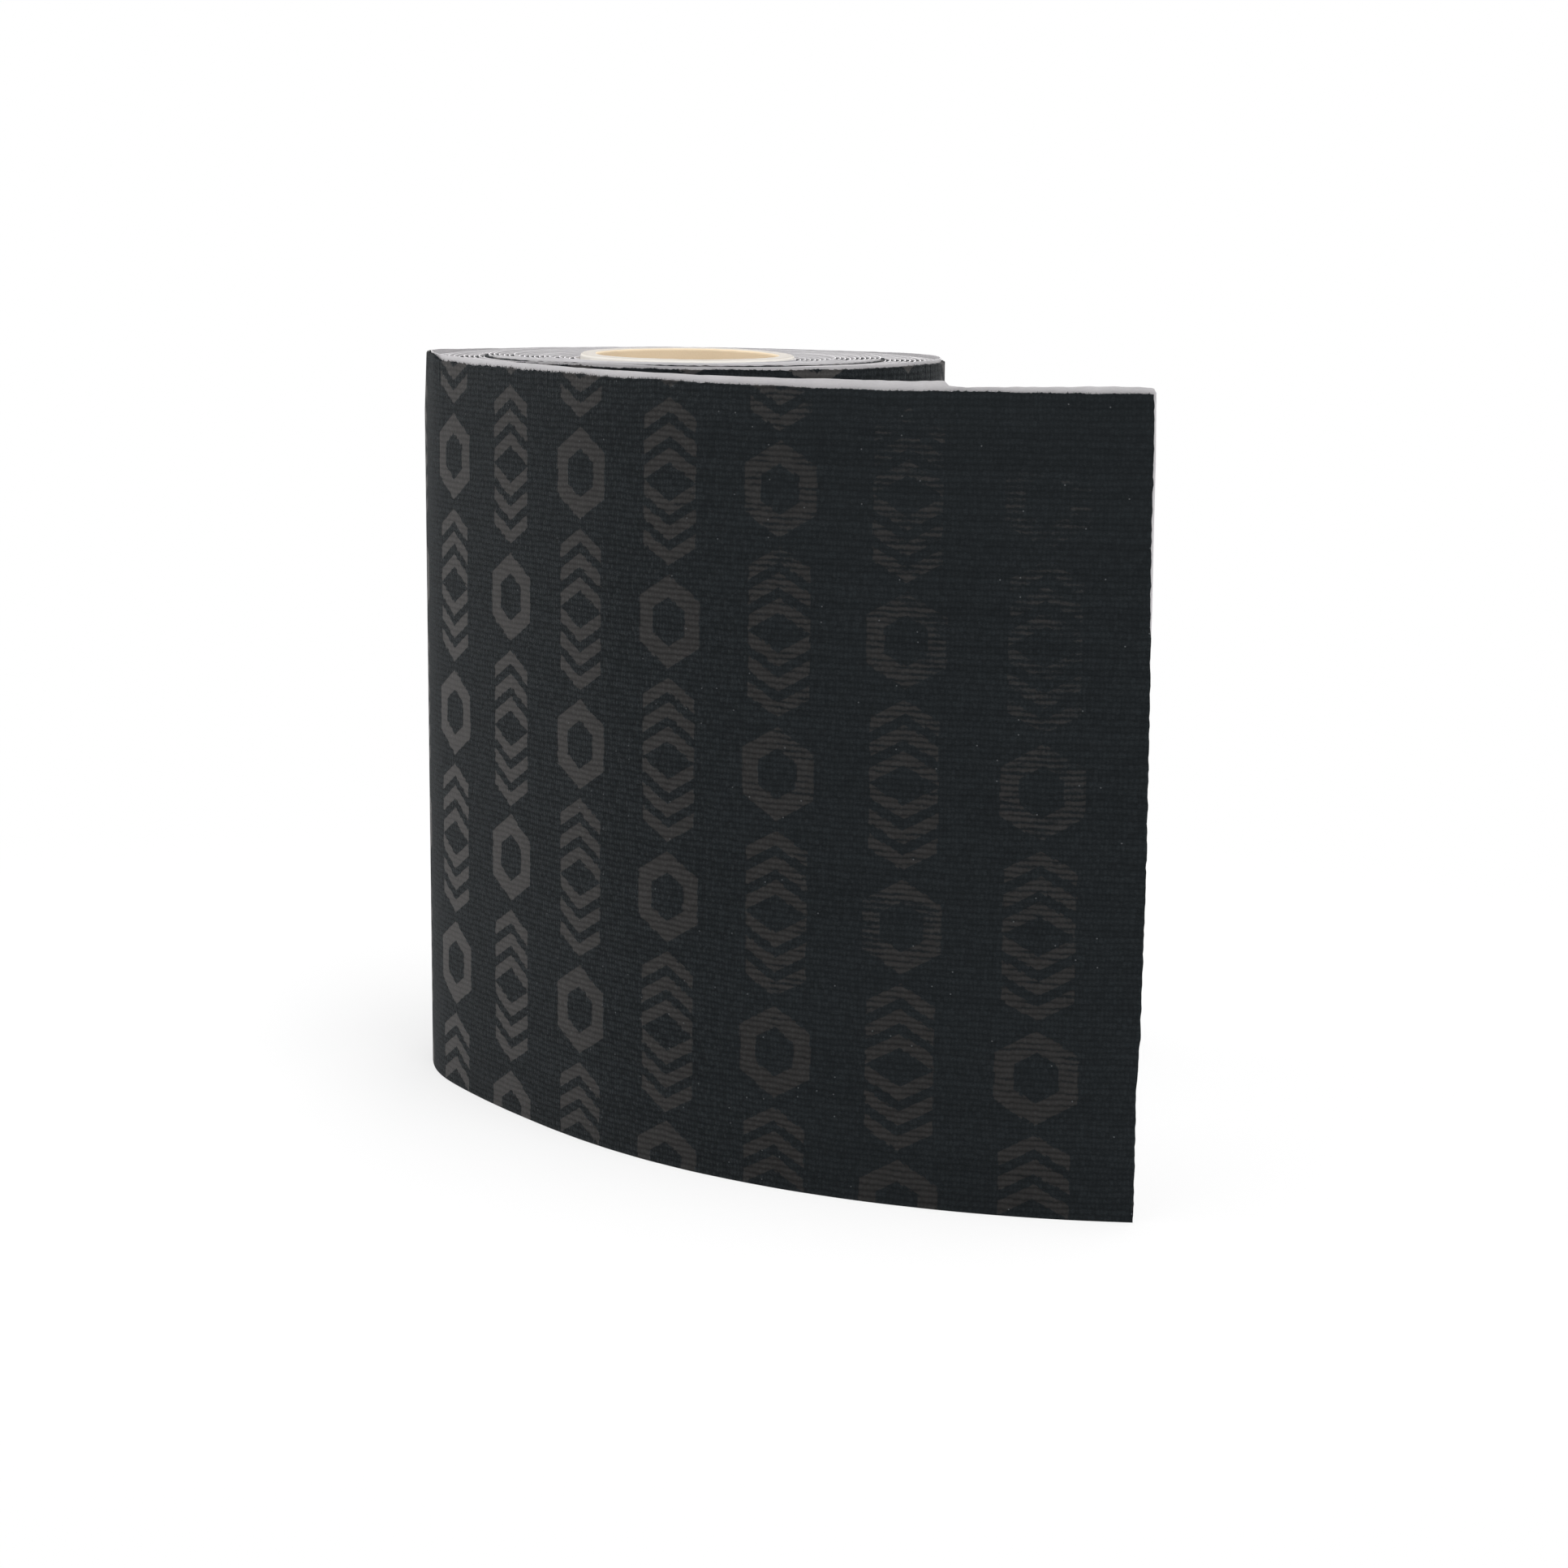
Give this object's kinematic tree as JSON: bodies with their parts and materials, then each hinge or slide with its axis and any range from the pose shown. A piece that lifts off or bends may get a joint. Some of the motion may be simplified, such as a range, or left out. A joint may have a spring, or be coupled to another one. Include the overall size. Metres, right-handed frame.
{
  "type": "cloth tape roll",
  "caption": "Wide roll of black elastic cloth tape on a paper release liner, wound on a paperboard core, standing on end with its free end led off in a curve.",
  "frame": {"origin": "centre of the core's bore at the lower end of the roll", "axes": "+Z along the bore, up from the end that the roll stands on; the free end leaves the roll on its -X side and stands round its -Y side"},
  "size_m": [0.0914, 0.123, 0.1011],
  "materials": {
    "cloth": "matte",
    "adhesive": "satin",
    "liner": "satin",
    "core": "matte",
    "starter_strip": "satin"
  },
  "bodies": {
    "roll": {"core": "core", "core_starter_strip": "starter_strip", "wound_liner": "liner", "wound_adhesive": "adhesive", "wound_cloth": "cloth"},
    "free_end_1": {"free_liner_1": "liner", "free_adhesive_1": "adhesive", "free_cloth_1": "cloth"},
    "free_end_2": {"free_liner_2": "liner", "free_adhesive_2": "adhesive", "free_cloth_2": "cloth"},
    "free_end_3": {"free_liner_3": "liner", "free_adhesive_3": "adhesive", "free_cloth_3": "cloth"},
    "free_end_4": {"free_liner_4": "liner", "free_adhesive_4": "adhesive", "free_cloth_4": "cloth"},
    "free_end_5": {"free_liner_5": "liner", "free_adhesive_5": "adhesive", "free_cloth_5": "cloth"},
    "free_end_6": {"free_liner_6": "liner", "free_adhesive_6": "adhesive", "free_cloth_6": "cloth"},
    "free_end_7": {"free_liner_7": "liner", "free_adhesive_7": "adhesive", "free_cloth_7": "cloth"},
    "free_end_8": {"free_liner_8": "liner", "free_adhesive_8": "adhesive", "free_cloth_8": "cloth"},
    "lift_tab": {"lift_tab_adhesive": "adhesive", "lift_tab_cloth": "cloth"}
  },
  "joints": [
    {"name": "free_end_curl", "type": "hinge", "parent": "roll", "child": "free_end_1", "pos_m": [-0.02863, -0.02399, 0], "axis": [0, 0, 1], "range_deg": [-10.2, 20], "stiffness_Nm_per_rad": 0.01},
    {"name": "free_end_bend_2", "type": "hinge", "parent": "free_end_1", "child": "free_end_2", "pos_m": [-0.02176, -0.03569, 0], "axis": [0, 0, 1], "range_deg": [-8.79, 17.18]},
    {"name": "free_end_bend_3", "type": "hinge", "parent": "free_end_2", "child": "free_end_3", "pos_m": [-0.01412, -0.04691, 0], "axis": [0, 0, 1], "range_deg": [-7.72, 15.09]},
    {"name": "free_end_bend_4", "type": "hinge", "parent": "free_end_3", "child": "free_end_4", "pos_m": [-0.00536, -0.0573, 0], "axis": [0, 0, 1], "range_deg": [-6.66, 13.01]},
    {"name": "free_end_bend_5", "type": "hinge", "parent": "free_end_4", "child": "free_end_5", "pos_m": [0.00476, -0.06637, 0], "axis": [0, 0, 1], "range_deg": [-6.66, 13.01]},
    {"name": "free_end_bend_6", "type": "hinge", "parent": "free_end_5", "child": "free_end_6", "pos_m": [0.01604, -0.07394, 0], "axis": [0, 0, 1], "range_deg": [-6.66, 13.01]},
    {"name": "free_end_bend_7", "type": "hinge", "parent": "free_end_6", "child": "free_end_7", "pos_m": [0.02827, -0.07986, 0], "axis": [0, 0, 1], "range_deg": [-6.66, 13.01]},
    {"name": "free_end_bend_8", "type": "hinge", "parent": "free_end_7", "child": "free_end_8", "pos_m": [0.0412, -0.08402, 0], "axis": [0, 0, 1], "range_deg": [-6.66, 13.01]},
    {"name": "tab_lift", "type": "hinge", "parent": "free_end_8", "child": "lift_tab", "pos_m": [0.0451, -0.08526, 0], "axis": [0, 0, -1], "range_deg": [0, 110]}
  ],
  "couplings": [
    {"joint": "free_end_bend_2", "follows": "free_end_curl", "ratio": 0.8564},
    {"joint": "free_end_bend_3", "follows": "free_end_curl", "ratio": 0.7521},
    {"joint": "free_end_bend_4", "follows": "free_end_curl", "ratio": 0.6478},
    {"joint": "free_end_bend_5", "follows": "free_end_curl", "ratio": 0.6478},
    {"joint": "free_end_bend_6", "follows": "free_end_curl", "ratio": 0.6478},
    {"joint": "free_end_bend_7", "follows": "free_end_curl", "ratio": 0.6478},
    {"joint": "free_end_bend_8", "follows": "free_end_curl", "ratio": 0.6478}
  ]
}
